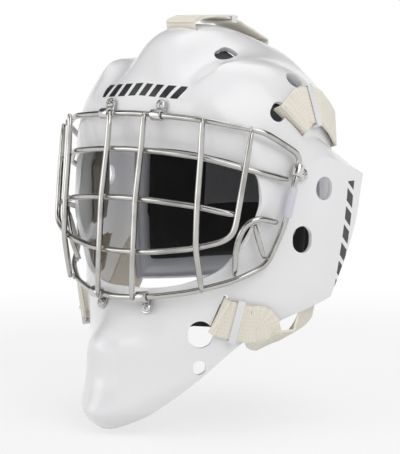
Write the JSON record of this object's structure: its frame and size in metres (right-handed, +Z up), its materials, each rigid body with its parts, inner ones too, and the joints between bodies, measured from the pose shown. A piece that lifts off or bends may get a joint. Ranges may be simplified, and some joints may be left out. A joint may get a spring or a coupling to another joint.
{
  "type": "goalie mask",
  "caption": "Ice hockey goalie mask with a moulded shell, wire cage, padded lining, elastic straps, hinged backplate and chin cup.",
  "frame": {"origin": "centre of the head space inside the mask, on the middle plane, level with the bridge of the nose", "axes": "+X to the wearer's left, -Y forwards through the cage, +Z up through the crown"},
  "size_m": [0.2314, 0.2502, 0.3147],
  "materials": {
    "shell_gloss": "gloss",
    "backplate_satin": "satin",
    "black_foam": "matte",
    "grey_panel": "matte",
    "cage_steel": "polished",
    "clip_steel": "polished",
    "screw_steel": "satin",
    "snap_metal": "polished",
    "sleeve_white": "satin",
    "band_fabric": "matte",
    "grey_foam": "matte",
    "tan_foam": "matte",
    "taupe_foam": "matte",
    "strap_elastic": "matte",
    "keeper_plastic": "satin",
    "cup_plastic": "satin",
    "cup_lining": "matte",
    "sling_webbing": "matte"
  },
  "bodies": {
    "mask": {"shell": "shell_gloss", "cage_rim": "cage_steel", "brow_bar": "cage_steel", "mid_bar": "cage_steel", "cat_eye_bar": "cage_steel", "inner_bar_left": "cage_steel", "inner_bar_right": "cage_steel", "outer_bar_left": "cage_steel", "outer_bar_right": "cage_steel", "cheek_bar_left": "cage_steel", "cheek_bar_right": "cage_steel", "corner_brace_left": "cage_steel", "corner_brace_right": "cage_steel", "upper_clips": "clip_steel", "side_clips": "clip_steel", "lower_clips": "clip_steel", "clip_screws": "screw_steel", "clip_nuts": "screw_steel", "cage_sleeve": "sleeve_white", "forehead_pad": "grey_foam", "sweatband": "band_fabric", "crown_pad": "grey_foam", "crown_side_pad_left": "grey_foam", "crown_side_pad_right": "grey_foam", "temple_pad_left": "taupe_foam", "temple_pad_right": "taupe_foam", "cheek_pad_left": "taupe_foam", "cheek_pad_right": "taupe_foam", "jaw_pad_left": "tan_foam", "jaw_pad_right": "tan_foam", "top_strap": "strap_elastic", "temple_strap_left": "strap_elastic", "temple_strap_right": "strap_elastic", "lower_strap_left": "strap_elastic", "lower_strap_right": "strap_elastic", "chin_sling_left": "sling_webbing", "chin_sling_right": "sling_webbing", "sling_snaps": "snap_metal"},
    "backplate": {"backplate": "backplate_satin", "backplate_foam": "black_foam", "comfort_panel": "grey_panel", "anchor_screws": "screw_steel"},
    "chin_cup": {"chin_cup": "cup_plastic", "chin_cup_pad": "cup_lining"},
    "top_keeper": {"top_keeper": "keeper_plastic"},
    "temple_keeper_left": {"temple_keeper_left": "keeper_plastic"},
    "temple_keeper_right": {"temple_keeper_right": "keeper_plastic"},
    "lower_keeper_left": {"lower_keeper_left": "keeper_plastic"},
    "lower_keeper_right": {"lower_keeper_right": "keeper_plastic"}
  },
  "joints": [
    {"name": "backplate_swing", "type": "hinge", "parent": "mask", "child": "backplate", "pos_m": [0, 0.03, 0.118], "axis": [1, 0, 0], "range_deg": [0, 25], "stiffness_Nm_per_rad": 3, "deforming": ["top_strap", "temple_strap_left", "temple_strap_right", "lower_strap_left", "lower_strap_right"]},
    {"name": "chin_cup_tilt", "type": "hinge", "parent": "mask", "child": "chin_cup", "pos_m": [0, -0.086, -0.082], "axis": [1, 0, 0], "range_deg": [-15, 15], "stiffness_Nm_per_rad": 0.3, "deforming": ["chin_sling_left", "chin_sling_right"]},
    {"name": "top_keeper_slide", "type": "slide", "parent": "mask", "child": "top_keeper", "axis": [0, 0.9806, -0.1961], "range_m": [-0.006, 0.006]},
    {"name": "temple_keeper_left_slide", "type": "slide", "parent": "mask", "child": "temple_keeper_left", "axis": [-0.0449, 0.9959, -0.079], "range_m": [-0.006, 0.006]},
    {"name": "temple_keeper_right_slide", "type": "slide", "parent": "mask", "child": "temple_keeper_right", "axis": [0.0449, 0.9959, -0.079], "range_m": [-0.006, 0.006]},
    {"name": "lower_keeper_left_slide", "type": "slide", "parent": "mask", "child": "lower_keeper_left", "axis": [0.6338, 0.7413, -0.221], "range_m": [-0.006, 0.006]},
    {"name": "lower_keeper_right_slide", "type": "slide", "parent": "mask", "child": "lower_keeper_right", "axis": [-0.6338, 0.7413, -0.221], "range_m": [-0.006, 0.006]}
  ]
}
